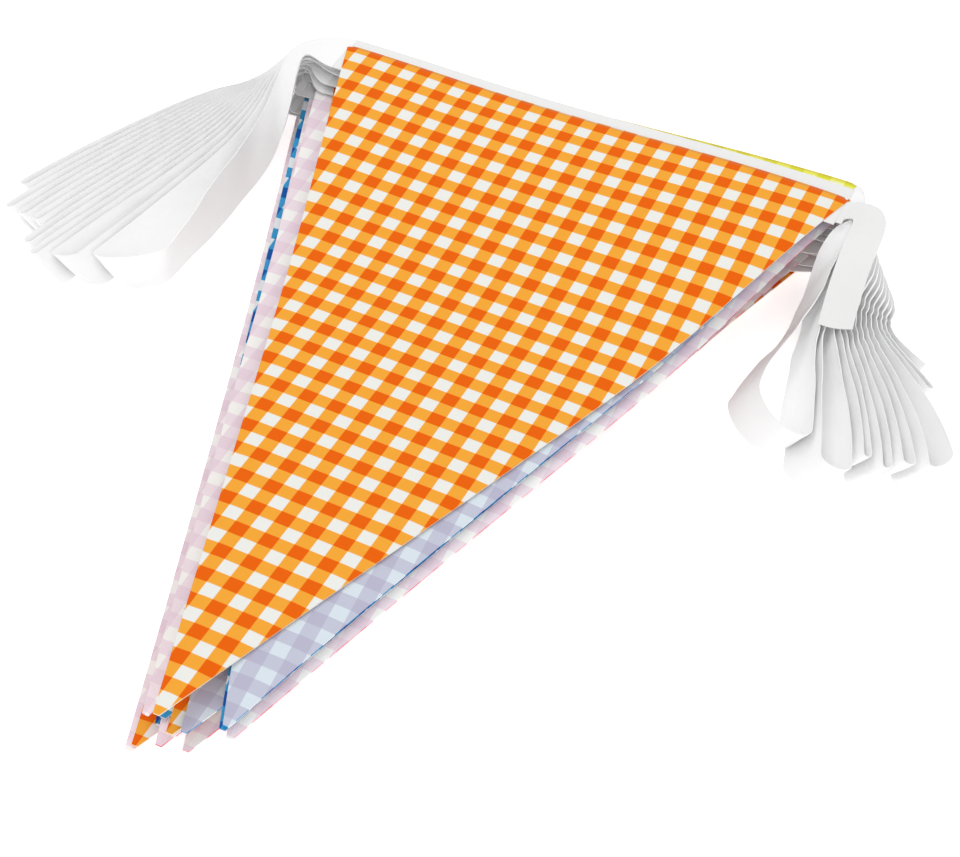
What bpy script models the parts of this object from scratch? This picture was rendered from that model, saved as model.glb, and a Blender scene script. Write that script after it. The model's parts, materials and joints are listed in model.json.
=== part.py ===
"""Fabric bunting: sixteen gingham pennants on one white tape, folded back and forth into a pile.

The pennants lie one on another, the fronts and the reverses up by turns. Between two pennants the
free tape makes a loop, by turns at the left and at the right corner, so the pile has a bundle of
loops at each side. X runs along the headings from left to right, Y from the tips to the headings,
Z up. The pile stands on Z = 0, and the origin is under the lowest pennant.
"""
import math
from collections import namedtuple

import bpy
import numpy as np

MM = 0.001

# Cut sizes of one pennant and of the tape. The heading's edge lies above the line that the width and
# the length are measured from, and bows up a little more at the middle.
FLAG_WIDTH = 200 * MM
FLAG_LENGTH = 300 * MM
HEADING_EDGE = 3 * MM
HEADING_BOW = 2 * MM
TIP_WIDTH = 2 * MM
TAPE_WIDTH = 15 * MM
CLOTH = 1.0 * MM
GAP = 0.3 * MM

# How the pile lies: each layer a little above the one below, the headings and the right corner
# lifted by the tape, the tips curled up a little. The lifts are those of the top pennant.
LAYER_PITCH = 1.4 * MM
HEADING_LIFT = 6 * MM
RIGHT_CORNER_LIFT = 8 * MM
LEFT_CORNER_LIFT = 3 * MM
TIP_LIFT = 2 * MM
FLOOR_CLEARANCE = 0.4 * MM

# Mesh fineness: a pennant has close rows where it is lifted and wide ones below
LIFTED_LENGTH = 140 * MM
LIFTED_ROWS, FLAT_ROWS, FLAG_COLUMNS = 9, 4, 10
RUN_STEPS = 8
STRAND_STEPS = 24
BEND_STEPS = 6

# The pennants from the top down. Odd ones show the front, even ones the reverse. The slides are of
# the heading's middle, the turn is about it, and the sway swings the tip along the heading.
Flag = namedtuple("Flag", "cloth slide_x slide_y turn_deg sway")
FLAGS = (
    Flag("orange", 3.1, -6.9, -0.2, -2.3),
    Flag("blue", 3.4, -0.6, 0.4, 13.5),
    Flag("blue", 1.6, -1.5, 1.4, 9.2),
    Flag("red", 5.2, -2.4, 1.9, 5.7),
    Flag("yellow", 1.2, 6.6, 3.2, 4.0),
    Flag("blue", 1.4, -4.0, 2.7, -8.6),
    Flag("orange", 0.8, -5.3, 3.1, -14.2),
    Flag("red", -8.7, -1.9, -0.2, 2.2),
    Flag("blue", -7.4, 0.4, 1.8, -5.1),
    Flag("red", -9.0, -8.0, 1.4, 2.0),
    Flag("blue", -14.0, -0.7, 1.1, 4.0),
    Flag("red", -1.7, -4.0, 2.7, -5.5),
    Flag("orange", -10.8, -7.9, 2.6, -10.7),
    Flag("red", -13.6, -9.5, 1.7, -4.8),
    Flag("orange", -3.3, 0.4, 2.0, -10.4),
    Flag("red", -7.4, 3.7, 3.6, -13.4),
)
LAST = len(FLAGS) - 1

# Guide stations of the two bundles, in mm and degrees. heading is the way the strands run, tilt
# stands each strand on edge, step is the sideways pitch of the strands and rise their pitch in
# height, fan goes from the even pitch to the open fan of the loops, and settled goes from the
# height of the strand's own layer to that of the bundle.
Station = namedtuple("Station", "x y heading tilt step rise width fan settled")
RIGHT_STATIONS = (
    Station(108, -7, -10, 0, 0.8, 2.1, 11, 0.0, 0.0),
    Station(114, -8, -50, 4, 1.0, 2.1, 9, 0.0, 0.1),
    Station(116, -18, -80, 26, 1.5, 2.1, 9, 0.0, 0.6),
    Station(116, -31, -82, 54, 1.7, 1.3, 12, 0.0, 0.95),
    Station(117, -44, -80, 66, 1.7, 0.2, 14, 0.05, 1.0),
    Station(120, -62, -76, 58, 1.8, 0.0, 15, 0.45, 1.0),
    Station(127, -86, -75, 47, 1.8, 0.0, 15, 0.85, 1.0),
    Station(134, -112, -75, 40, 2.0, 0.0, 15, 1.0, 1.0),
    Station(139, -136, -75, 38, 2.0, 0.0, 15, 1.1, 1.0),
)
LEFT_STATIONS = (
    Station(-112, -5, 196, 1, 0.7, 2.0, 8, 0.0, 0.0),
    Station(-119, -10, 224, 8, 1.3, 2.1, 8, 0.0, 0.25),
    Station(-123, -23, 244, 30, 1.9, 1.5, 10, 0.0, 0.9),
    Station(-126, -44, 256, 40, 2.2, 0.3, 14, 0.1, 1.0),
    Station(-133, -72, 262, 38, 2.4, 0.0, 15, 0.3, 1.0),
    Station(-139, -104, 264, 32, 2.9, 0.0, 15, 0.7, 1.0),
    Station(-144, -135, 264, 28, 3.1, 0.0, 15, 1.0, 1.0),
    Station(-147, -158, 264, 27, 3.2, 0.0, 15, 1.1, 1.0),
)

# The loops of each bundle from the inner side out: the upper of the two pennants that it joins,
# the sideways places in mm of its two strands in the open fan, how far down the bundle each of them
# goes, and the degrees that the first is rolled on edge beyond the bundle's tilt in the open fan.
Loop = namedtuple("Loop", "upper near far near_reach far_reach near_roll", defaults=(0,))
RIGHT_LOOPS = (
    Loop(2, -34, -8, 0.83, 0.90),
    Loop(4, -5, 6, 0.93, 0.94),
    Loop(6, 10.5, 13, 0.92, 0.92),
    Loop(8, 16.5, 20, 0.93, 0.93),
    Loop(10, 24, 28, 0.92, 0.92),
    Loop(12, 33, 43, 0.92, 0.90),
    Loop(14, 47, 50, 0.77, 0.77),
)
LEFT_LOOPS = (
    Loop(1, -37, -16, 0.90, 0.93, 70),
    Loop(3, -12.2, -4, 0.94, 0.95),
    Loop(5, -0.8, 2.3, 0.96, 0.96),
    Loop(7, 5.5, 8.7, 0.95, 0.95),
    Loop(9, 12, 15.1, 0.92, 0.92),
    Loop(11, 18.2, 21.3, 0.92, 0.92),
    Loop(13, 24.4, 27.5, 0.92, 0.92),
    Loop(15, 30.6, 33.7, 0.88, 0.88),
)
LAST_END_PLACE, LAST_END_REACH = 62, 0.71
FIRST_END_REACH = 0.67
FIRST_END_WIDTH = 12 * MM
FIRST_END_CLEARANCE = 1.6 * MM

# Colour, roughness of each cloth
CLOTHS = {
    "orange": ((0.98, 0.40, 0.06), 0.75),
    "blue": ((0.07, 0.40, 0.78), 0.75),
    "red": ((0.86, 0.45, 0.52), 0.75),
    "yellow": ((0.93, 0.84, 0.15), 0.75),
    "tape": ((0.92, 0.92, 0.93), 0.80),
}


def smooth(value):
    """0 below 0, 1 above 1, and an S-shaped rise between."""
    value = np.clip(value, 0.0, 1.0)
    return value * value * (3 - 2 * value)


def lift(x, y):
    """How far the top pennant lies above a flat pile, as two parts: the rise towards the headings,
    at the left corner and at the tips together, and the rise at the right corner."""
    heading = smooth((y + 125 * MM) / (115 * MM))
    right = smooth((x + 60 * MM) / (165 * MM)) * smooth((y + 115 * MM) / (115 * MM))
    left = smooth((40 * MM - x) / (140 * MM)) * smooth((y + 130 * MM) / (130 * MM))
    tip = smooth((-y - 130 * MM) / (170 * MM))
    shared = HEADING_LIFT * heading + LEFT_CORNER_LIFT * left + TIP_LIFT * tip
    return shared, RIGHT_CORNER_LIFT * right


def layer_height(index, x, y):
    """Height of the middle of a layer: its place in the pile, plus its share of the lift. The lower
    layers follow the top one less and less, and evenly so at the right corner."""
    above = LAST - index
    share = above / LAST
    shared, right = lift(x, y)
    return CLOTH / 2 + LAYER_PITCH * above + shared * share * (2 - share) + right * share


def lay(index, along, down):
    """Points of a pennant, given along its heading and down from it, laid in its place in the pile:
    swayed with the square of the way down, turned, slid and set at the layer's height."""
    flag = FLAGS[index]
    along = along + flag.sway * MM * (down / FLAG_LENGTH) ** 2
    turn = math.radians(flag.turn_deg)
    x = flag.slide_x * MM + math.cos(turn) * along + math.sin(turn) * down
    y = flag.slide_y * MM + math.sin(turn) * along - math.cos(turn) * down
    return np.stack([x, y, layer_height(index, x, y)], axis=-1)


def heading_edge(share):
    """How far the heading's edge lies above its guide line: an arch over the share, which runs from
    -1 at the left corner to 1 at the right."""
    return HEADING_EDGE + HEADING_BOW * (1 - share**2)


def spline_weights(count, places):
    """Weights of the control points of a clamped uniform cubic B-spline, one row for each place."""
    degree = 3
    knots = np.concatenate([np.zeros(degree), np.linspace(0, 1, count - degree + 1), np.ones(degree)])
    places = np.clip(places, 0, 1 - 1e-9)[:, None]
    weights = ((knots[:-1] <= places) & (places < knots[1:])).astype(float)
    for order in range(1, degree + 1):
        left_span = knots[order:-1] - knots[: -order - 1]
        right_span = knots[order + 1:] - knots[1:-order]
        rising = (places - knots[: -order - 1]) / np.where(left_span > 0, left_span, 1)
        falling = (knots[order + 1:] - places) / np.where(right_span > 0, right_span, 1)
        weights = rising * weights[:, :-1] * (left_span > 0) + falling * weights[:, 1:] * (right_span > 0)
    return weights


def strand(index, side, stations, sideways, reach, roll=0):
    """Centre points, width vectors and widths of one strand of tape from its pennant's corner down
    its bundle. side is 1 at the right and -1 at the left. The strand leaves the corner in line with
    its own heading and layer, then follows the stations."""
    corner = FLAG_WIDTH / 2 + GAP
    start, ahead = lay(index, side * (corner + np.array([0, 5 * MM])), np.full(2, TAPE_WIDTH / 2 - HEADING_EDGE))
    turn = math.radians(FLAGS[index].turn_deg)
    own_across = np.array([-math.sin(turn), math.cos(turn)])
    plan, across = [start[:2], ahead[:2]], [own_across, own_across]
    numbers = [(start[2], 0.0, TAPE_WIDTH, 0.0), (ahead[2], 0.0, TAPE_WIDTH, 0.0)]
    middle = LAST / 2
    for station in stations:
        heading = math.radians(station.heading)
        outward = np.array([-math.sin(heading), math.cos(heading)]) * side
        even = (index - middle) * station.step
        offset = even * (1 - station.fan) + sideways * station.fan
        plan.append((np.array([station.x, station.y]) + offset * outward) * MM)
        across.append(outward)
        tilt = math.radians(station.tilt + roll * station.fan)
        width = station.width * MM
        height = FLOOR_CLEARANCE + width / 2 * math.sin(tilt) + CLOTH / 2 * math.cos(tilt)
        height += (LAST - index) * station.rise * MM
        numbers.append((height, tilt, width, station.settled))
    places = np.append(np.arange(0, reach - 0.4 / STRAND_STEPS, 1 / STRAND_STEPS), reach)
    weights = spline_weights(len(plan), places)
    plan, across = weights @ np.array(plan), weights @ np.array(across)
    height, tilt, width, settled = (weights @ np.array(numbers)).T
    across /= np.linalg.norm(across, axis=1)[:, None]
    return plan, across, height, tilt, width, settled


def band_edges(index, plan, across, height, tilt, width, settled):
    """The two edges of a strand: half its width to each side, tilted, at the layer's own height
    where it isn't settled and at the bundle's where it is."""
    edges = []
    for side in (-1, 1):
        half = side * width / 2
        place = plan + across * (half * np.cos(tilt))[:, None]
        own = layer_height(index, place[:, 0], place[:, 1])
        level = (1 - settled) * own + settled * (height + half * np.sin(tilt))
        edges.append(np.column_stack([place, level]))
    return np.stack(edges, axis=1)


def bend_edges(upper, lower):
    """The turn at the end of a loop, from the end of one strand to that of the next: half an
    ellipse in the direction that the strands run, with the strand's width carried along."""
    first, last = upper[-1], lower[-1]
    ahead = (first - upper[-2]).mean(axis=0) + (last - lower[-2]).mean(axis=0)
    ahead[2] = 0
    ahead /= np.linalg.norm(ahead)
    middle, half = (first + last) / 2, (first - last) / 2
    bulge = max(0.7 * np.linalg.norm(half[0]), 2.2 * MM)
    angles = np.linspace(0, math.pi, BEND_STEPS + 1)[1:-1, None, None]
    return middle + half * np.cos(angles) + ahead * bulge * np.sin(angles)


def edge_normals(edges):
    """Unit normals along a band: its run crossed with its width."""
    run = np.gradient(edges.mean(axis=1), axis=0)
    normals = np.cross(run, edges[:, 1] - edges[:, 0])
    normals /= np.linalg.norm(normals, axis=1)[:, None]
    return np.repeat(normals[:, None, :], 2, axis=1)


def sheet_solid(name, points, normals, material, parent):
    """A closed sheet: a grid of points moved half the cloth's thickness to both sides along the
    normals, with its rim closed."""
    rows, columns = points.shape[:2]
    top = (points + normals * CLOTH / 2).reshape(-1, 3)
    under = (points - normals * CLOTH / 2).reshape(-1, 3)
    number = np.arange(rows * columns).reshape(rows, columns)
    quads = np.stack([number[:-1, :-1], number[1:, :-1], number[1:, 1:], number[:-1, 1:]], axis=-1).reshape(-1, 4)
    rim = np.concatenate([number[:, 0], number[-1, 1:], number[-2::-1, -1], number[0, -2:0:-1]])
    beside = np.roll(rim, -1)
    count = rows * columns
    walls = np.stack([rim, rim + count, beside + count, beside], axis=-1)
    faces = np.concatenate([quads, quads[:, ::-1] + count, walls])
    if np.cross(points[1, 0] - points[0, 0], points[0, 1] - points[0, 0]) @ normals[0, 0] < 0:
        faces = faces[:, ::-1]
    mesh = bpy.data.meshes.new(name)
    mesh.from_pydata(np.concatenate([top, under]).tolist(), [], faces.tolist())
    mesh.validate()
    mesh.shade_smooth()
    mesh.set_sharp_from_angle(angle=math.radians(40))
    mesh.materials.append(material)
    piece = bpy.data.objects.new(name, mesh)
    piece.parent = parent
    bpy.context.scene.collection.objects.link(piece)
    return piece


def cloth_material(name):
    """A plain woven cloth of one colour."""
    colour, roughness = CLOTHS[name]
    material = bpy.data.materials.new(name)
    material.use_nodes = True
    shader = material.node_tree.nodes["Principled BSDF"]
    shader.inputs["Base Color"].default_value = (*colour, 1)
    shader.inputs["Roughness"].default_value = roughness
    shader.inputs["Metallic"].default_value = 0.0
    return material


def upright(points):
    return np.broadcast_to(np.array([0.0, 0.0, 1.0]), points.shape)


def make_flag(index, materials, parent):
    """A pennant below its tape: a grid that narrows in step with the way down to the tip."""
    lifted = np.linspace(TAPE_WIDTH + GAP, LIFTED_LENGTH, LIFTED_ROWS + 1)
    flat = np.linspace(LIFTED_LENGTH, FLAG_LENGTH, FLAT_ROWS + 1)[1:]
    down = np.concatenate([lifted, flat])[:, None]
    share = np.linspace(-1, 1, FLAG_COLUMNS + 1)
    down = down - heading_edge(share) * (1 - down / FLAG_LENGTH)
    along = share * (FLAG_WIDTH - (FLAG_WIDTH - TIP_WIDTH) * down / FLAG_LENGTH) / 2
    points = lay(index, along, down)
    sheet_solid(f"flag_{index + 1:02d}", points, upright(points), materials[FLAGS[index].cloth], parent)


def make_run(index, materials, parent):
    """The tape along a pennant's heading, in the same layer."""
    share = np.linspace(-1, 1, RUN_STEPS + 1)[:, None]
    down = np.array([0, TAPE_WIDTH]) - heading_edge(share)
    along = np.broadcast_to(share * FLAG_WIDTH / 2, down.shape)
    points = lay(index, along, down)
    sheet_solid(f"tape_run_{index + 1:02d}", points, upright(points), materials["tape"], parent)


def make_loop(loop, side, stations, materials, parent):
    """The free tape between two pennants: one strand out, the turn, and the next strand back."""
    upper_index, lower_index = loop.upper - 1, loop.upper
    upper = band_edges(upper_index, *strand(upper_index, side, stations, loop.near, loop.near_reach, loop.near_roll))
    lower = band_edges(lower_index, *strand(lower_index, side, stations, loop.far, loop.far_reach))
    edges = np.concatenate([upper, bend_edges(upper, lower), lower[::-1]])
    name = f"tape_loop_{loop.upper:02d}_{loop.upper + 1:02d}"
    sheet_solid(name, edges, edge_normals(edges), materials["tape"], parent)


def make_last_end(materials, parent):
    """The loose end after the lowest pennant, the outermost strand of the right bundle."""
    edges = band_edges(LAST, *strand(LAST, 1, RIGHT_STATIONS, LAST_END_PLACE, LAST_END_REACH))
    sheet_solid("tape_end_last", edges, edge_normals(edges), materials["tape"], parent)


def make_first_end(materials, parent):
    """The loose end before the top pennant, which lies flat on the neck of the right bundle: it
    follows the bundle's middle, just above the highest edge there, a little narrowed by its curl."""
    plan, across, height, tilt, width, settled = strand(0, 1, RIGHT_STATIONS, 0, FIRST_END_REACH)
    width = np.full_like(width, FIRST_END_WIDTH)
    highest = strand(1, 1, RIGHT_STATIONS, 0, FIRST_END_REACH)
    middle = strand(LAST // 2, 1, RIGHT_STATIONS, 0, FIRST_END_REACH)
    start = smooth(np.linspace(0, 1, len(plan)) * 3)[:, None]
    plan = plan * (1 - start) + middle[0] * start
    top = highest[2] + highest[4] / 2 * np.sin(highest[3]) + FIRST_END_CLEARANCE
    edges = band_edges(0, plan, across, top, np.zeros_like(tilt), width, settled)
    sheet_solid("tape_end_first", edges, edge_normals(edges), materials["tape"], parent)


def main():
    for old in list(bpy.data.objects):
        bpy.data.objects.remove(old, do_unlink=True)
    materials = {name: cloth_material(name) for name in CLOTHS}
    pile = bpy.data.objects.new("bunting", None)
    bpy.context.scene.collection.objects.link(pile)
    rest_point = lay(LAST, np.array(0.0), np.array(FLAG_LENGTH / 3))
    pile.location = (-rest_point[0], -rest_point[1], 0)
    for index in range(len(FLAGS)):
        make_flag(index, materials, pile)
        make_run(index, materials, pile)
    for loop in RIGHT_LOOPS:
        make_loop(loop, 1, RIGHT_STATIONS, materials, pile)
    for loop in LEFT_LOOPS:
        make_loop(loop, -1, LEFT_STATIONS, materials, pile)
    make_first_end(materials, pile)
    make_last_end(materials, pile)


main()
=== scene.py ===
"""Looks of a folded fabric bunting: sixteen gingham pennants on one white tape, laid in a pile.

Every pennant, stretch of tape and loop is a thin sheet on the fold of its solid, worked out as a
function of two parameters on a grid. Lengths are in metres, from values named in millimetres. X runs
along the headings, Y from the tips to the headings, Z up from the surface that the pile lies on.
"""
import json
import math
from collections import namedtuple

import bpy
import numpy as np
from mathutils import Matrix

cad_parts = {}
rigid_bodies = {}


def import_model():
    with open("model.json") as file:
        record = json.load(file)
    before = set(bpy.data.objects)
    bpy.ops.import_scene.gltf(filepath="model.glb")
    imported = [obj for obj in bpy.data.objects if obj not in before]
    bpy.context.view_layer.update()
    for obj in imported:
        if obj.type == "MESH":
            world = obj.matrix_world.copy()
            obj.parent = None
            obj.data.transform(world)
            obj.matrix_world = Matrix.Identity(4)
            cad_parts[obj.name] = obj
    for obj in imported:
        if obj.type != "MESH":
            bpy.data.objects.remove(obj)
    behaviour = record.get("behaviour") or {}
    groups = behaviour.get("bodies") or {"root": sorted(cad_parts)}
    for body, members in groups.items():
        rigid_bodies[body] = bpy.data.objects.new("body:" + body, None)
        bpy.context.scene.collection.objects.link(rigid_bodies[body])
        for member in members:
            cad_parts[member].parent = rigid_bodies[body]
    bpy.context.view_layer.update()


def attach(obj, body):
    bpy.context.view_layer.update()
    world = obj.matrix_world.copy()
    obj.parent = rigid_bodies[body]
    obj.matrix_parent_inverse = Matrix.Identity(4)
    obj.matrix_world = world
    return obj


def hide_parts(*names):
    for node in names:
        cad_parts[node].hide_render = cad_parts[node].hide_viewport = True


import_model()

MM = 0.001

# Cut sizes of one pennant and of the tape, and the cloth thicknesses that show. The heading's edge lies
# beyond the guide line of the heading, and bows up a little more in the middle
FLAG_WIDTH = 200 * MM
FLAG_LENGTH = 300 * MM
HEADING_EDGE = 3 * MM
HEADING_BOW = 2 * MM
TIP_WIDTH = 2 * MM
TAPE_WIDTH = 15 * MM
FLAG_CLOTH = 0.5 * MM
TAPE_CLOTH = 0.35 * MM
NECK_CLOTH = 0.6 * MM
CLOTH_AND_TAPE_GAP = 0.04 * MM
CHECK_REPEAT = 10.39 * MM

# How the pile lies, as its solids do: the layers, and the seam between a run of tape and a strand
LAYER = 1.0 * MM
SEAM = 0.05 * MM
LAYER_PITCH = 1.4 * MM
FLOOR_CLEARANCE = 0.4 * MM
LEAST_FLAG_HEIGHT = 0.6 * FLAG_CLOTH

# The top pennant's lifts, and where each starts and how far it takes
HEADING_LIFT, HEADING_LIFT_FROM_Y, HEADING_LIFT_OVER = 6 * MM, -125 * MM, 115 * MM
RIGHT_CORNER_LIFT, RIGHT_LIFT_FROM_X, RIGHT_LIFT_OVER_X = 8 * MM, -60 * MM, 165 * MM
RIGHT_LIFT_FROM_Y = -115 * MM
LEFT_CORNER_LIFT, LEFT_LIFT_FROM_X, LEFT_LIFT_OVER_X = 3 * MM, 40 * MM, 140 * MM
LEFT_LIFT_FROM_Y = -130 * MM
TIP_LIFT, TIP_LIFT_FROM_Y, TIP_LIFT_OVER = 2 * MM, -130 * MM, 170 * MM

# Small rises of the cloth and of the tape over their plain folds. A wave of the tape has its height,
# and its phases along the spline and across the width; the phases of a strand and of a pennant go up
# from one to the next
EDGE_DROOP, EDGE_DROOP_WIDTH = 0.4 * MM, 6 * MM
HEADING_ROLL, HEADING_ROLL_WIDTH = 0.5 * MM, 2.6 * MM
CLOTH_WAVE, CLOTH_WAVE_ALONG, CLOTH_WAVE_DOWN = 0.12 * MM, 31 * MM, 43 * MM
CLOTH_WAVE_START = 30 * MM
CLOTH_PHASE_ALONG, CLOTH_PHASE_DOWN = 1.7, 0.9
TAPE_HOLLOW = 0.5 * MM
TapeWave = namedtuple("TapeWave", "height along across")
TAPE_WAVES = (TapeWave(0.3 * MM, 37, 4), TapeWave(0.1 * MM, 83, -7))
STRAND_PHASE, OPEN_FAN_FROM, OPEN_FAN_OVER = 1.9, 0.5, 0.25
NECK_PLACE, NECK_SPREAD = 0.33, 0.17
TURN_DEPTH, LEAST_TURN = 0.7, 2.2 * MM

# Mesh fineness
FLAG_ROWS, FLAG_COLUMNS = 72, 44
FINE_ROWS, FINE_DEPTH = 5, 3 * MM
RUN_STEPS, TAPE_STRIPS = 60, 8
STRAND_STEPS, BEND_STEPS = 60, 14
CORNER_STEP = 5 * MM
SHARP_ANGLE_DEG = 45

# The pennants from the top down: cloth, slide of the heading's middle, turn about it, swing of the
# tip along the heading, and the shift of the checks
Flag = namedtuple("Flag", "cloth slide_x slide_y turn_deg sway check_x check_y")
FLAGS = (
    Flag("orange", 3.1, -6.9, -0.2, -2.3, -0.2, 3.4),
    Flag("blue", 3.4, -0.6, 0.4, 13.5, 3.3, -1.6),
    Flag("blue", 1.6, -1.5, 1.4, 9.2, 2.0, 4.0),
    Flag("red", 5.2, -2.4, 1.9, 5.7, 1.0, 0.5),
    Flag("yellow", 1.2, 6.6, 3.2, 4.0, 0.0, 2.0),
    Flag("blue", 1.4, -4.0, 2.7, -8.6, 4.0, 1.0),
    Flag("orange", 0.8, -5.3, 3.1, -14.2, 1.5, 3.0),
    Flag("red", -8.7, -1.9, -0.2, 2.2, 2.5, 0.5),
    Flag("blue", -7.4, 0.4, 1.8, -5.1, 1.0, 3.5),
    Flag("red", -9.0, -8.0, 1.4, 2.0, 4.5, 2.0),
    Flag("blue", -14.0, -0.7, 1.1, 4.0, 2.0, 1.0),
    Flag("red", -1.7, -4.0, 2.7, -5.5, 0.5, 4.5),
    Flag("orange", -10.8, -7.9, 2.6, -10.7, 3.0, 2.5),
    Flag("red", -13.6, -9.5, 1.7, -4.8, 1.0, 0.0),
    Flag("orange", -3.3, 0.4, 2.0, -10.4, 4.0, 1.5),
    Flag("red", -7.4, 3.7, 3.6, -13.4, 2.0, 3.0),
)
LAST = len(FLAGS) - 1

# Guide stations of the two bundles of tape, in mm and degrees: the place of the middle strand, the way
# that the strands run, the tilt of their width, the steps sideways and upwards from one strand to the
# next, the tape's width, narrower in the neck, how far the strands have fanned out to their loops' own
# places, and how far they have left the layers' heights for the bundle's
Station = namedtuple("Station", "x y heading tilt step rise width fan settled")
RIGHT_STATIONS = (
    Station(108, -7, -10, 0, 0.8, 2.1, 11, 0.0, 0.0),
    Station(114, -8, -50, 4, 1.0, 2.1, 9, 0.0, 0.1),
    Station(116, -18, -80, 26, 1.5, 2.1, 9, 0.0, 0.6),
    Station(116, -31, -82, 54, 1.7, 1.3, 12, 0.0, 0.95),
    Station(117, -44, -80, 66, 1.7, 0.2, 14, 0.05, 1.0),
    Station(120, -62, -76, 58, 1.8, 0.0, 15, 0.45, 1.0),
    Station(127, -86, -75, 47, 1.8, 0.0, 15, 0.85, 1.0),
    Station(134, -112, -75, 40, 2.0, 0.0, 15, 1.0, 1.0),
    Station(139, -136, -75, 38, 2.0, 0.0, 15, 1.1, 1.0),
)
LEFT_STATIONS = (
    Station(-112, -5, 196, 1, 0.7, 2.0, 8, 0.0, 0.0),
    Station(-119, -10, 224, 8, 1.3, 2.1, 8, 0.0, 0.25),
    Station(-123, -23, 244, 30, 1.9, 1.5, 10, 0.0, 0.9),
    Station(-126, -44, 256, 40, 2.2, 0.3, 14, 0.1, 1.0),
    Station(-133, -72, 262, 38, 2.4, 0.0, 15, 0.3, 1.0),
    Station(-139, -104, 264, 32, 2.9, 0.0, 15, 0.7, 1.0),
    Station(-144, -135, 264, 28, 3.1, 0.0, 15, 1.0, 1.0),
    Station(-147, -158, 264, 27, 3.2, 0.0, 15, 1.1, 1.0),
)

# The loops: the number of the pennant before each, the sideways places of its two strands in the fan,
# in mm, how far along their splines they reach, and a further tilt of the first, in degrees
Loop = namedtuple("Loop", "upper near far near_reach far_reach near_roll", defaults=(0,))
RIGHT_LOOPS = (
    Loop(2, -34, -8, 0.83, 0.90),
    Loop(4, -5, 6, 0.93, 0.94),
    Loop(6, 10.5, 13, 0.92, 0.92),
    Loop(8, 16.5, 20, 0.93, 0.93),
    Loop(10, 24, 28, 0.92, 0.92),
    Loop(12, 33, 43, 0.92, 0.90),
    Loop(14, 47, 50, 0.77, 0.77),
)
LEFT_LOOPS = (
    Loop(1, -37, -16, 0.90, 0.93, 70),
    Loop(3, -12.2, -4, 0.94, 0.95),
    Loop(5, -0.8, 2.3, 0.96, 0.96),
    Loop(7, 5.5, 8.7, 0.95, 0.95),
    Loop(9, 12, 15.1, 0.92, 0.92),
    Loop(11, 18.2, 21.3, 0.92, 0.92),
    Loop(13, 24.4, 27.5, 0.92, 0.92),
    Loop(15, 30.6, 33.7, 0.88, 0.88),
)

# The loose ends: the last by its place and reach, the first by its reach, and its width and height
# over the neck of the right bundle
LAST_END_PLACE, LAST_END_REACH = 62, 0.71
FIRST_END_REACH = 0.67
FIRST_END_WIDTH = 12 * MM
FIRST_END_CLEARANCE = 1.6 * MM

# The camera, from the photo's view of the checks
CAMERA_PLACE = np.array([237.7, -547.7, 554.4]) * MM
CAMERA_AZIMUTH_DEG, CAMERA_ELEVATION_DEG, CAMERA_ROLL_DEG = -22.7, 45.3, 3.9
CAMERA_LENS_MM, SENSOR_WIDTH_MM = 86.4, 36.0

# Light: the floor's own glow, the surrounding and the three soft lights
FLOOR_SIDE = 6.0
FLOOR_COLOUR = (0.9, 0.9, 0.9)
FLOOR_GLOW, WORLD_LIGHT = 0.55, 0.82
SoftLight = namedtuple("SoftLight", "name place size watts")
SOFT_LIGHTS = (
    SoftLight("upper_left_light", (-0.7, 0.6, 1.3), 1.2, 6.5),
    SoftLight("front_light", (0.5, -1.1, 1.1), 1.0, 3.5),
    SoftLight("low_right_light", (1.2, -0.8, 0.55), 1.0, 2.3),
)

# Print colours, as linear light: the ground, the thread crossings of one colour and of two
Print = namedtuple("Print", "ground single double")
FRONT_PRINTS = {
    "orange": Print((0.78, 0.78, 0.745), (0.84, 0.36, 0.035), (0.765, 0.115, 0.0)),
    "blue": Print((0.70, 0.78, 0.80), (0.035, 0.30, 0.58), (0.006, 0.09, 0.36)),
    "red": Print((0.78, 0.75, 0.76), (0.78, 0.26, 0.32), (0.68, 0.045, 0.08)),
    "yellow": Print((0.86, 0.87, 0.46), (0.80, 0.80, 0.10), (0.68, 0.68, 0.03)),
}
REVERSE_PRINTS = {
    "orange": Print((0.78, 0.76, 0.73), (0.80, 0.60, 0.44), (0.78, 0.48, 0.31)),
    "blue": Print((0.64, 0.71, 0.77), (0.51, 0.525, 0.635), (0.45, 0.44, 0.565)),
    "red": Print((0.90, 0.885, 0.86), (0.84, 0.72, 0.775), (0.79, 0.64, 0.72)),
    "yellow": Print((0.80, 0.80, 0.74), (0.78, 0.76, 0.51), (0.75, 0.72, 0.37)),
}
# Painted shade, not part of the print: a brown mixed into the cloth beside the heading's edge, where the
# cloth turns away from the light; its share, where it is full and where it is gone
PAINTED_EDGE_SHADE = (0.45, 0.20, 0.10)
EDGE_SHADE_SHARE, EDGE_SHADE_FULL_TO, EDGE_SHADE_GONE_AT = 0.35, 1.2 * MM, 2.0 * MM
# One white tape in two copies: the tape of the headings and of the first loose end, and a lighter copy for
# the loops and the last loose end, whose extra brightness is painted light that lifts the shade between the
# bundled strands
TAPE_COLOUR = (0.79, 0.79, 0.785)
PAINTED_LIGHT_TAPE_COLOUR = (0.89, 0.89, 0.89)

# Finish of the cloths: weave pitch, the weight of its bump and of the tape's creases in it, and the
# creases' fineness along the tape and across it, per metre
CLOTH_ROUGHNESS, TAPE_ROUGHNESS, FLOOR_ROUGHNESS = 0.8, 0.85, 0.9
SPECULAR = 0.1
GINGHAM_PITCH, GINGHAM_BUMP = 0.55 * MM, 0.25
TAPE_PITCH, TAPE_BUMP, TAPE_CREASES = 0.6 * MM, 0.35, 8.0
CREASE_FINENESS = (30, 260, 0)
BUMP_DEPTH = 0.1 * MM

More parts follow.
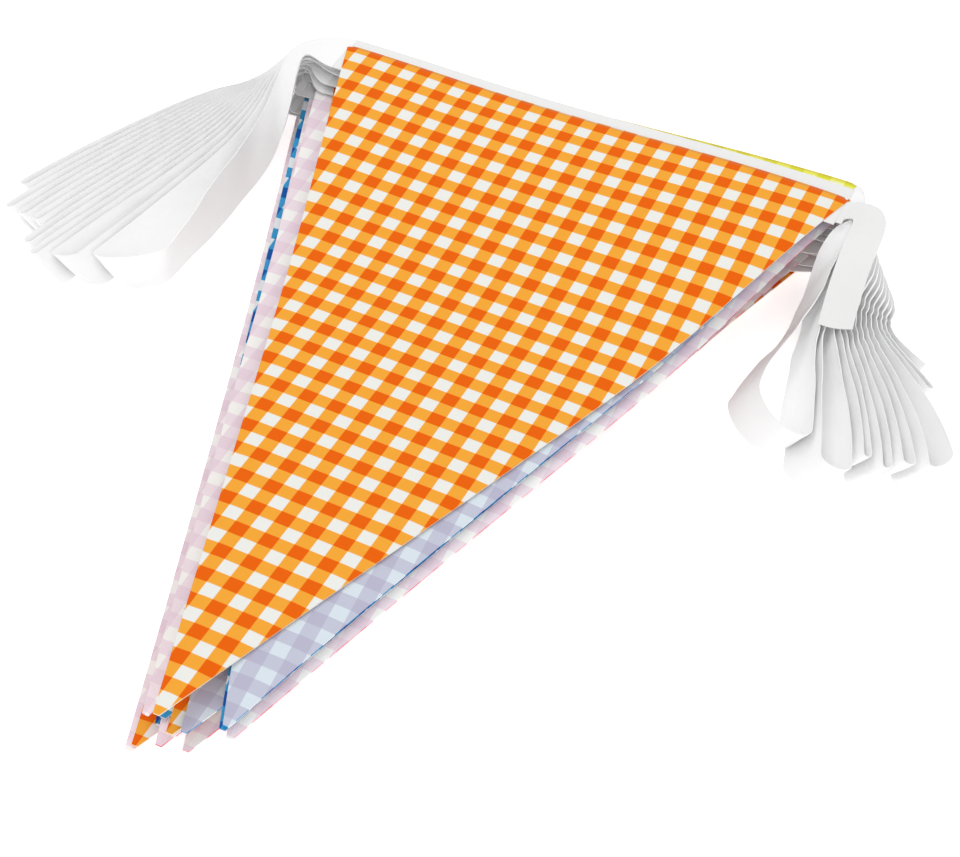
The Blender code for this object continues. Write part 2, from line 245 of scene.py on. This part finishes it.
# The stripes: a triangle wave that runs from 0 to 0.5 turns into thread colour over this stretch of
# it. Whole repeats are added to the measure, so that it is never negative
STRIPE_EDGE_FROM, STRIPE_EDGE_TO = 0.235, 0.265
WHOLE_REPEATS = 100.0


def smooth(value):
    """0 below 0, 1 above 1, and the cubic S-curve between."""
    value = np.clip(value, 0.0, 1.0)
    return value * value * (3 - 2 * value)


def lift(x, y):
    """How far the top pennant lies above a flat pile, in two parts: the S-curves towards the headings,
    the left corner and the tips added up, and the S-curve at the right corner."""
    heading = smooth((y - HEADING_LIFT_FROM_Y) / HEADING_LIFT_OVER)
    right = smooth((x - RIGHT_LIFT_FROM_X) / RIGHT_LIFT_OVER_X) * smooth(1 - y / RIGHT_LIFT_FROM_Y)
    left = smooth((LEFT_LIFT_FROM_X - x) / LEFT_LIFT_OVER_X) * smooth(1 - y / LEFT_LIFT_FROM_Y)
    tip = smooth((TIP_LIFT_FROM_Y - y) / TIP_LIFT_OVER)
    shared = HEADING_LIFT * heading + LEFT_CORNER_LIFT * left + TIP_LIFT * tip
    return shared, RIGHT_CORNER_LIFT * right


def layer_height(index, x, y):
    """Height of a layer's middle: its place in the pile, plus its share of the lift. The shared lift
    grows quickly over the lowest layers and slowly over the highest; the right corner's grows evenly."""
    above = LAST - index
    share = above / LAST
    shared, right = lift(x, y)
    return LAYER / 2 + LAYER_PITCH * above + shared * share * (2 - share) + right * share


def lay(index, along, down):
    """A pennant's points laid in the pile: swayed with the square of the way down, turned about the
    heading's middle, slid, and set at the layer's height."""
    flag = FLAGS[index]
    along = along + flag.sway * MM * (down / FLAG_LENGTH) ** 2
    turn = math.radians(flag.turn_deg)
    x = flag.slide_x * MM + math.cos(turn) * along + math.sin(turn) * down
    y = flag.slide_y * MM + math.sin(turn) * along - math.cos(turn) * down
    return np.stack([x, y, layer_height(index, x, y)], axis=-1)


REST_POINT = lay(LAST, np.array(0.0), np.array(FLAG_LENGTH / 3)) * np.array([1, 1, 0])


def heading_edge(share):
    """How far the heading's edge lies above its guide line: an arch over the share, which runs from
    -1 at the left corner to 1 at the right."""
    return HEADING_EDGE + HEADING_BOW * (1 - share**2)


def spline_weights(count, places):
    """Weights of the control points of a clamped uniform cubic B-spline, one row for each place, by
    the usual recursion from degree 0 to 3."""
    degree = 3
    knots = np.concatenate([np.zeros(degree), np.linspace(0, 1, count - degree + 1), np.ones(degree)])
    places = np.clip(places, 0, 1 - 1e-9)[:, None]
    weights = ((knots[:-1] <= places) & (places < knots[1:])).astype(float)
    for order in range(1, degree + 1):
        left_span = knots[order:-1] - knots[: -order - 1]
        right_span = knots[order + 1:] - knots[1:-order]
        rising = (places - knots[: -order - 1]) / np.where(left_span > 0, left_span, 1)
        falling = (knots[order + 1:] - places) / np.where(right_span > 0, right_span, 1)
        weights = rising * weights[:, :-1] * (left_span > 0) + falling * weights[:, 1:] * (right_span > 0)
    return weights


def strand(index, side, stations, sideways, reach, roll=0):
    """Centre points, width vectors, heights, tilts, widths and settling of one strand of tape, all
    read from one spline through its own corner and the bundle's stations."""
    corner = FLAG_WIDTH / 2 + SEAM
    tape_middle = np.full(2, TAPE_WIDTH / 2 - HEADING_EDGE)
    start, ahead = lay(index, side * (corner + np.array([0, CORNER_STEP])), tape_middle)
    turn = math.radians(FLAGS[index].turn_deg)
    own_across = np.array([-math.sin(turn), math.cos(turn)])
    plan, across = [start[:2], ahead[:2]], [own_across, own_across]
    numbers = [(start[2], 0.0, TAPE_WIDTH, 0.0), (ahead[2], 0.0, TAPE_WIDTH, 0.0)]
    middle = LAST / 2
    for station in stations:
        heading = math.radians(station.heading)
        outward = np.array([-math.sin(heading), math.cos(heading)]) * side
        even = (index - middle) * station.step
        offset = even * (1 - station.fan) + sideways * station.fan
        plan.append((np.array([station.x, station.y]) + offset * outward) * MM)
        across.append(outward)
        tilt = math.radians(station.tilt + roll * station.fan)
        width = station.width * MM
        height = FLOOR_CLEARANCE + width / 2 * math.sin(tilt) + LAYER / 2 * math.cos(tilt)
        height += (LAST - index) * station.rise * MM
        numbers.append((height, tilt, width, station.settled))
    # Even steps, and then the reach, at least 0.4 of a step after the last of them
    places = np.append(np.arange(0, reach - 0.4 / STRAND_STEPS, 1 / STRAND_STEPS), reach)
    weights = spline_weights(len(plan), places)
    plan, across = weights @ np.array(plan), weights @ np.array(across)
    height, tilt, width, settled = (weights @ np.array(numbers)).T
    across /= np.linalg.norm(across, axis=1)[:, None]
    return plan, across, height, tilt, width, settled


def cupping(index, place, side):
    """The tape's soft hollow across its width and its waves along the bundle: a parabola over the
    width, and two sine waves over the place on the spline and the width. The strands wave together
    in the neck, and each in its own phase in the open fan."""
    hollow = TAPE_HOLLOW * (4 * side * side - 0.5)
    own = STRAND_PHASE * index * smooth((place - OPEN_FAN_FROM) / OPEN_FAN_OVER)
    waves = [wave.height * np.sin(wave.along * place + wave.across * side + own) for wave in TAPE_WAVES]
    return hollow + sum(waves)


def tape_side(index):
    """How far a pennant's tape lies to the reverse side of the layer's middle, half the two cloths
    and half the gap: below it where the front is up, above it where the reverse is up."""
    half = (FLAG_CLOTH + TAPE_CLOTH + CLOTH_AND_TAPE_GAP) / 2
    return -half if index % 2 == 0 else half


def band(index, plan, across, height, tilt, width, settled):
    """A strand as a grid of points over its length and width: the width tilted and softly cupped, at
    the layer's own height where it isn't settled and at the bundle's where it is."""
    side = np.linspace(-0.5, 0.5, TAPE_STRIPS + 1)[None, :]
    half = side * width[:, None]
    cosine, sine = np.cos(tilt)[:, None], np.sin(tilt)[:, None]
    ripple = settled[:, None] * cupping(index, np.arange(len(plan))[:, None] / STRAND_STEPS, side)
    place = plan[:, None, :] + across[:, None, :] * (half * cosine - ripple * sine)[:, :, None]
    own = layer_height(index, place[..., 0], place[..., 1]) + tape_side(index)
    level = (1 - settled)[:, None] * own + settled[:, None] * (height[:, None] + half * sine)
    return np.concatenate([place, (level + ripple * cosine)[..., None]], axis=-1)


def bend(upper, lower):
    """The turn at the end of a loop: half an ellipse from one strand's end to the other's, bulging
    the way that the strands run, a little less than a half circle and never less than a soft fold."""
    first, last = upper[-1], lower[-1]
    ahead = (first - upper[-2]).mean(axis=0) + (last - lower[-2]).mean(axis=0)
    ahead[2] = 0
    ahead /= np.linalg.norm(ahead)
    middle, half = (first + last) / 2, (first - last) / 2
    bulge = max(TURN_DEPTH * np.linalg.norm(half[0]), LEAST_TURN)
    angles = np.linspace(0, math.pi, BEND_STEPS + 1)[1:-1, None, None]
    return middle + half * np.cos(angles) + ahead * bulge * np.sin(angles)


def grid_normals(points):
    """Unit normals of a grid: its run crossed with its width."""
    normals = np.cross(np.gradient(points, axis=0), np.gradient(points, axis=1))
    return normals / np.linalg.norm(normals, axis=-1)[..., None]


def sheet_mesh(name, points, thickness, uv, materials):
    """A closed sheet: the grid moved half the thickness to both sides along its normals, with the
    rim closed. The first material is on the side that the normals point to, the second, if there is
    one, on the other side and the rim."""
    normals = grid_normals(points)
    rows, columns = points.shape[:2]
    count = rows * columns
    half = normals * np.reshape(thickness, (-1, 1, 1)) / 2
    verts = np.concatenate([points + half, points - half]).reshape(-1, 3)
    number = np.arange(count).reshape(rows, columns)
    corners = [number[:-1, :-1], number[1:, :-1], number[1:, 1:], number[:-1, 1:]]
    quads = np.stack(corners, axis=-1).reshape(-1, 4)
    rim = np.concatenate([number[:, 0], number[-1, 1:], number[-2::-1, -1], number[0, -2:0:-1]])
    beside = np.roll(rim, -1)
    walls = np.stack([rim, rim + count, beside + count, beside], axis=-1)
    faces = np.concatenate([quads, quads[:, ::-1] + count, walls])
    mesh = bpy.data.meshes.new(name)
    mesh.from_pydata((verts - REST_POINT).tolist(), [], faces.tolist())
    both = np.concatenate([uv, uv]).reshape(-1, 2)
    layer = mesh.uv_layers.new(name="cloth")
    layer.uv.foreach_set("vector", both[faces.ravel()].astype(np.float32).ravel())
    for material in materials:
        mesh.materials.append(material)
    if len(materials) > 1:
        sides = np.ones(len(faces), np.int32)
        sides[: len(quads)] = 0
        mesh.polygons.foreach_set("material_index", sides)
    mesh.shade_smooth()
    mesh.set_sharp_from_angle(angle=math.radians(SHARP_ANGLE_DEG))
    mesh.update()
    piece = bpy.data.objects.new(name, mesh)
    bpy.context.scene.collection.objects.link(piece)
    return piece


def shader_of(name, roughness):
    """A new material and its main shader, with even values set on the shader's own sockets."""
    material = bpy.data.materials.new(name)
    material.use_nodes = True
    shader = material.node_tree.nodes["Principled BSDF"]
    shader.inputs["Roughness"].default_value = roughness
    shader.inputs["Specular IOR Level"].default_value = SPECULAR
    return material, shader


def number_node(nodes, links, operation, first, second=None):
    """A Math node; a socket is linked and a number is set."""
    node = nodes.new("ShaderNodeMath")
    node.operation = operation
    for place, value in enumerate((first, second)):
        if value is None:
            continue
        if isinstance(value, (int, float)):
            node.inputs[place].default_value = value
        else:
            links.new(value, node.inputs[place])
    return node.outputs[0]


def stripe(nodes, links, place):
    """1 on the coloured threads and 0 on the white ones: half of each repeat, with a soft edge."""
    wave = number_node(nodes, links, "PINGPONG", place, 0.5)
    edge = nodes.new("ShaderNodeMapRange")
    edge.interpolation_type = "SMOOTHSTEP"
    edge.inputs["From Min"].default_value = STRIPE_EDGE_FROM
    edge.inputs["From Max"].default_value = STRIPE_EDGE_TO
    links.new(wave, edge.inputs["Value"])
    return edge.outputs["Result"]


def mix_colour(nodes, links, share, first, second):
    """The first colour, and the second where the share is 1; each is a socket or an even colour."""
    node = nodes.new("ShaderNodeMix")
    node.data_type = "RGBA"
    links.new(share, node.inputs[0])
    for place, value in ((6, first), (7, second)):
        if isinstance(value, tuple):
            node.inputs[place].default_value = (*value, 1)
        else:
            links.new(value, node.inputs[place])
    return node.outputs[2]


def weave_bump(nodes, links, shader, pitch, strength, creases=0.0):
    """Fine threads both ways, the product of two sine waves of the weave's pitch, as a bump. creases
    is the weight of soft lengthwise creases: noise that is long along the piece and short across it."""
    coordinates = nodes.new("ShaderNodeUVMap")
    coordinates.uv_map = "cloth"
    apart = nodes.new("ShaderNodeSeparateXYZ")
    links.new(coordinates.outputs["UV"], apart.inputs[0])
    waves = []
    for axis in (0, 1):
        turned = number_node(nodes, links, "MULTIPLY", apart.outputs[axis], 2 * math.pi / pitch)
        waves.append(number_node(nodes, links, "SINE", turned))
    height = number_node(nodes, links, "MULTIPLY", *waves)
    if creases:
        stretch = nodes.new("ShaderNodeVectorMath")
        stretch.operation = "MULTIPLY"
        stretch.inputs[1].default_value = CREASE_FINENESS
        links.new(coordinates.outputs["UV"], stretch.inputs[0])
        noise = nodes.new("ShaderNodeTexNoise")
        noise.inputs["Scale"].default_value = 1.0
        noise.inputs["Detail"].default_value = 2.0
        links.new(stretch.outputs[0], noise.inputs["Vector"])
        folds = number_node(nodes, links, "MULTIPLY", noise.outputs[0], creases)
        height = number_node(nodes, links, "ADD", height, folds)
    bump = nodes.new("ShaderNodeBump")
    bump.inputs["Strength"].default_value = strength
    bump.inputs["Distance"].default_value = BUMP_DEPTH
    links.new(height, bump.inputs["Height"])
    links.new(bump.outputs["Normal"], shader.inputs["Normal"])


def painted_edge_shade(nodes, links):
    """Painted shade: a faint darker line where the cloth turns over the tape and away from the light, an
    even share of the shade colour beside the heading's edge, which fades out a little way down, by the
    piece's own measure down from it."""
    measure = nodes.new("ShaderNodeAttribute")
    measure.attribute_name = "down"
    edge = nodes.new("ShaderNodeMapRange")
    edge.interpolation_type = "SMOOTHSTEP"
    edge.inputs["From Min"].default_value = EDGE_SHADE_FULL_TO
    edge.inputs["From Max"].default_value = EDGE_SHADE_GONE_AT
    edge.inputs["To Min"].default_value = EDGE_SHADE_SHARE
    edge.inputs["To Max"].default_value = 0.0
    links.new(measure.outputs["Fac"], edge.inputs["Value"])
    return edge.outputs["Result"]


def gingham_material(name, colours):
    """Printed checks on the cloth's own measure: a stripe each way, whose crossings are the deep
    checks, on a pale ground, with painted shade mixed over the print along the heading's edge."""
    material, shader = shader_of(name, CLOTH_ROUGHNESS)
    nodes, links = material.node_tree.nodes, material.node_tree.links
    coordinates = nodes.new("ShaderNodeUVMap")
    coordinates.uv_map = "cloth"
    apart = nodes.new("ShaderNodeSeparateXYZ")
    links.new(coordinates.outputs["UV"], apart.inputs[0])
    stripes = []
    for axis in (0, 1):
        place = number_node(nodes, links, "DIVIDE", apart.outputs[axis], CHECK_REPEAT)
        stripes.append(stripe(nodes, links, number_node(nodes, links, "ADD", place, WHOLE_REPEATS)))
    one = number_node(nodes, links, "MAXIMUM", *stripes)
    both = number_node(nodes, links, "MULTIPLY", *stripes)
    colour = mix_colour(nodes, links, one, colours.ground, colours.single)
    colour = mix_colour(nodes, links, both, colour, colours.double)
    # Painted shade over the print, along the heading's edge
    colour = mix_colour(nodes, links, painted_edge_shade(nodes, links), colour, PAINTED_EDGE_SHADE)
    links.new(colour, shader.inputs["Base Color"])
    weave_bump(nodes, links, shader, GINGHAM_PITCH, GINGHAM_BUMP)
    return material


def tape_material(name, colour):
    """Thin white tape with a plain weave and soft creases."""
    material, shader = shader_of(name, TAPE_ROUGHNESS)
    nodes, links = material.node_tree.nodes, material.node_tree.links
    shader.inputs["Base Color"].default_value = (*colour, 1)
    weave_bump(nodes, links, shader, TAPE_PITCH, TAPE_BUMP, TAPE_CREASES)
    return material


def place_piece(piece, node):
    """Makes a finished sheet stand for its node."""
    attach(piece, "root")
    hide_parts(node)


def drape(index, along, down, half):
    """Small rises of a pennant over its flat fold: a droop of a fraction of a millimetre within a few
    millimetres of the cut edges, a roll of the heading's edge, and two slow sine waves that differ
    from one pennant to another."""
    inward = np.minimum(half - np.abs(along), FLAG_LENGTH - down)
    droop = EDGE_DROOP * (smooth(inward / EDGE_DROOP_WIDTH) - 0.5)
    roll = HEADING_ROLL * (1 - smooth(down / HEADING_ROLL_WIDTH))
    wave_along = np.sin(along / CLOTH_WAVE_ALONG + CLOTH_PHASE_ALONG * index)
    wave_down = np.sin(down / CLOTH_WAVE_DOWN + CLOTH_PHASE_DOWN * index)
    wave = CLOTH_WAVE * wave_along * wave_down * smooth((down - TAPE_WIDTH) / CLOTH_WAVE_START)
    return droop - roll + wave


def make_flag(index, materials):
    """A pennant: a grid over its heading and its way down, narrowing in step to the tip, with finer
    rows at the heading, and kept off the floor. Odd ones have their print upwards."""
    flag = FLAGS[index]
    fine = np.linspace(0, FINE_DEPTH, FINE_ROWS + 1)[:-1]
    within = np.concatenate([fine, np.linspace(FINE_DEPTH, FLAG_LENGTH, FLAG_ROWS)])[:, None]
    share = np.linspace(-1, 1, FLAG_COLUMNS + 1)
    down = within - heading_edge(share) * (1 - within / FLAG_LENGTH)
    half = (FLAG_WIDTH - (FLAG_WIDTH - TIP_WIDTH) * down / FLAG_LENGTH) / 2
    along = half * share
    within = np.broadcast_to(within, along.shape)
    points = lay(index, along, down)
    height = points[..., 2] + drape(index, along, within, half)
    points[..., 2] = np.maximum(height, LEAST_FLAG_HEIGHT)
    uv = np.stack([along - flag.check_x * MM, down - flag.check_y * MM], axis=-1)
    front_up = index % 2 == 0
    front, reverse = materials[flag.cloth + " front"], materials[flag.cloth + " reverse"]
    sides = (front, reverse) if front_up else (reverse, front)
    name = f"pennant_{index + 1:02d}"
    piece = sheet_mesh(name, points, FLAG_CLOTH, uv, sides)
    measure = piece.data.attributes.new("down", "FLOAT", "POINT")
    measure.data.foreach_set("value", np.concatenate([within, within]).astype(np.float32).ravel())
    place_piece(piece, f"flag_{index + 1:02d}")


def make_run(index, materials):
    """The tape along a heading, sewn to the pennant's reverse."""
    share = np.linspace(-1, 1, RUN_STEPS + 1)[:, None]
    down = np.linspace(0, TAPE_WIDTH, TAPE_STRIPS + 1) - heading_edge(share)
    along = np.broadcast_to(share * FLAG_WIDTH / 2, down.shape)
    points = lay(index, along, down)
    points[..., 2] += tape_side(index)
    piece = sheet_mesh(f"heading_tape_{index + 1:02d}", points, TAPE_CLOTH, np.stack([along, down], axis=-1),
                       [materials["tape"]])
    place_piece(piece, f"tape_run_{index + 1:02d}")


def band_uv(points):
    """The tape's own measure: the way along its middle, and across its width."""
    middle = points[:, points.shape[1] // 2]
    steps = np.linalg.norm(np.diff(middle, axis=0), axis=1)
    along = np.concatenate([[0], np.cumsum(steps)])
    across = np.linspace(0, TAPE_WIDTH, points.shape[1])
    return np.stack(np.meshgrid(along, across, indexing="ij"), axis=-1), along[-1]


def fullness(places):
    """The tape's thickness along its strand: it bunches up in the neck of the bundle, in the shape of
    a bell curve over the spline's places."""
    return TAPE_CLOTH + NECK_CLOTH * np.exp(-(((places - NECK_PLACE) / NECK_SPREAD) ** 2))


def tape_piece(name, node, points, places, material):
    """A loose piece of tape, given the place on the spline of each of its rows."""
    uv, length = band_uv(points)
    piece = sheet_mesh(name, points, fullness(places), uv, [material])
    place_piece(piece, node)


def make_loop(loop, side, stations, materials):
    """The free tape between two pennants: a strand out, the turn, and the next strand back."""
    upper_index, lower_index = loop.upper - 1, loop.upper
    near = strand(upper_index, side, stations, loop.near, loop.near_reach, loop.near_roll)
    far = strand(lower_index, side, stations, loop.far, loop.far_reach)
    upper, lower = band(upper_index, *near), band(lower_index, *far)
    turn = bend(upper, lower)
    points = np.concatenate([upper, turn, lower[::-1]])
    places = np.concatenate([
        np.linspace(0, loop.near_reach, len(upper)),
        np.linspace(loop.near_reach, loop.far_reach, len(turn)),
        np.linspace(loop.far_reach, 0, len(lower)),
    ])
    pair = f"{loop.upper:02d}_{loop.upper + 1:02d}"
    tape_piece(f"loop_{pair}", f"tape_loop_{pair}", points, places, materials["loose tape"])


def make_last_end(materials):
    """The loose end after the lowest pennant, the outermost strand of the right bundle."""
    points = band(LAST, *strand(LAST, 1, RIGHT_STATIONS, LAST_END_PLACE, LAST_END_REACH))
    tape_piece("loose_end_last", "tape_end_last", points, np.linspace(0, LAST_END_REACH, len(points)),
               materials["loose tape"])


def make_first_end(materials):
    """The loose end before the top pennant, flat on the neck of the right bundle, a little
    narrowed by its curl and of one thickness. Within the first third of its way it moves over to the
    bundle's middle."""
    plan, across, _, tilt, width, settled = strand(0, 1, RIGHT_STATIONS, 0, FIRST_END_REACH)
    width = np.full_like(width, FIRST_END_WIDTH)
    highest = strand(1, 1, RIGHT_STATIONS, 0, FIRST_END_REACH)
    middle = strand(LAST // 2, 1, RIGHT_STATIONS, 0, FIRST_END_REACH)
    start = smooth(np.linspace(0, 1, len(plan)) * 3)[:, None]
    plan = plan * (1 - start) + middle[0] * start
    top = highest[2] + highest[4] / 2 * np.sin(highest[3]) + FIRST_END_CLEARANCE
    points = band(0, plan, across, top, np.zeros_like(tilt), width, settled)
    tape_piece("loose_end_first", "tape_end_first", points, np.full(len(points), FIRST_END_REACH),
               materials["tape"])


def make_camera():
    """The camera at the photo's angle, its axes worked out from azimuth, elevation and roll."""
    azimuth, elevation, roll = map(math.radians, (CAMERA_AZIMUTH_DEG, CAMERA_ELEVATION_DEG, CAMERA_ROLL_DEG))
    ahead = np.array([
        math.sin(azimuth) * math.cos(elevation),
        math.cos(azimuth) * math.cos(elevation),
        -math.sin(elevation),
    ])
    level = np.array([math.cos(azimuth), -math.sin(azimuth), 0])
    above = np.cross(level, ahead)
    right = math.cos(roll) * level + math.sin(roll) * above
    above = np.cross(right, ahead)
    matrix = np.eye(4)
    matrix[:3, :4] = np.column_stack([right, above, -ahead, CAMERA_PLACE])
    camera = bpy.data.objects.new("camera", bpy.data.cameras.new("camera"))
    camera.data.lens = CAMERA_LENS_MM
    camera.data.sensor_width = SENSOR_WIDTH_MM
    camera.matrix_world = Matrix(matrix.tolist())
    bpy.context.scene.collection.objects.link(camera)
    bpy.context.scene.camera = camera


def make_soft_light(light):
    """A round area light that faces the pile."""
    lamp = bpy.data.lights.new(light.name, "AREA")
    lamp.shape = "DISK"
    lamp.size = light.size
    lamp.energy = light.watts
    lamp_object = bpy.data.objects.new(light.name, lamp)
    bpy.context.scene.collection.objects.link(lamp_object)
    back = np.array(light.place) / np.linalg.norm(light.place)
    sideways = np.cross([0, 0, 1], back)
    sideways /= np.linalg.norm(sideways)
    turn = np.eye(4)
    turn[:3, :4] = np.column_stack([sideways, np.cross(back, sideways), back, light.place])
    lamp_object.matrix_world = Matrix(turn.tolist())


def make_surroundings():
    """A white floor that glows a little, an even white surrounding, one wide soft light from the
    upper left, one from beside the camera and a low one from the right."""
    mesh = bpy.data.meshes.new("floor")
    corners = np.array([[-1, -1, 0], [1, -1, 0], [1, 1, 0], [-1, 1, 0]]) * FLOOR_SIDE / 2
    mesh.from_pydata(corners.tolist(), [], [(0, 1, 2, 3)])
    floor = bpy.data.objects.new("floor", mesh)
    bpy.context.scene.collection.objects.link(floor)
    material, shader = shader_of("floor", FLOOR_ROUGHNESS)
    shader.inputs["Base Color"].default_value = (*FLOOR_COLOUR, 1)
    shader.inputs["Emission Color"].default_value = (1, 1, 1, 1)
    shader.inputs["Emission Strength"].default_value = FLOOR_GLOW
    mesh.materials.append(material)
    world = bpy.data.worlds.new("studio")
    world.use_nodes = True
    world.node_tree.nodes["Background"].inputs["Color"].default_value = (1, 1, 1, 1)
    world.node_tree.nodes["Background"].inputs["Strength"].default_value = WORLD_LIGHT
    bpy.context.scene.world = world
    for light in SOFT_LIGHTS:
        make_soft_light(light)
    bpy.context.scene.view_settings.view_transform = "Standard"


def main():
    """Makes the materials, the pennants with their tape from the top of the pile down, the loops, the
    loose ends, the camera and the light."""
    for old in [o for o in bpy.data.objects if o.name in ("Cube", "Light", "Camera")]:
        bpy.data.objects.remove(old, do_unlink=True)
    materials = {
        "tape": tape_material("tape", TAPE_COLOUR),
        # The loops' copy of the same tape, painted lighter to lift the shade between the strands
        "loose tape": tape_material("loose tape", PAINTED_LIGHT_TAPE_COLOUR),
    }
    for cloth in FRONT_PRINTS:
        materials[cloth + " front"] = gingham_material(cloth + " front", FRONT_PRINTS[cloth])
        materials[cloth + " reverse"] = gingham_material(cloth + " reverse", REVERSE_PRINTS[cloth])
    for index in range(len(FLAGS)):
        make_flag(index, materials)
        make_run(index, materials)
    for loop in RIGHT_LOOPS:
        make_loop(loop, 1, RIGHT_STATIONS, materials)
    for loop in LEFT_LOOPS:
        make_loop(loop, -1, LEFT_STATIONS, materials)
    make_first_end(materials)
    make_last_end(materials)
    make_camera()
    make_surroundings()


main()
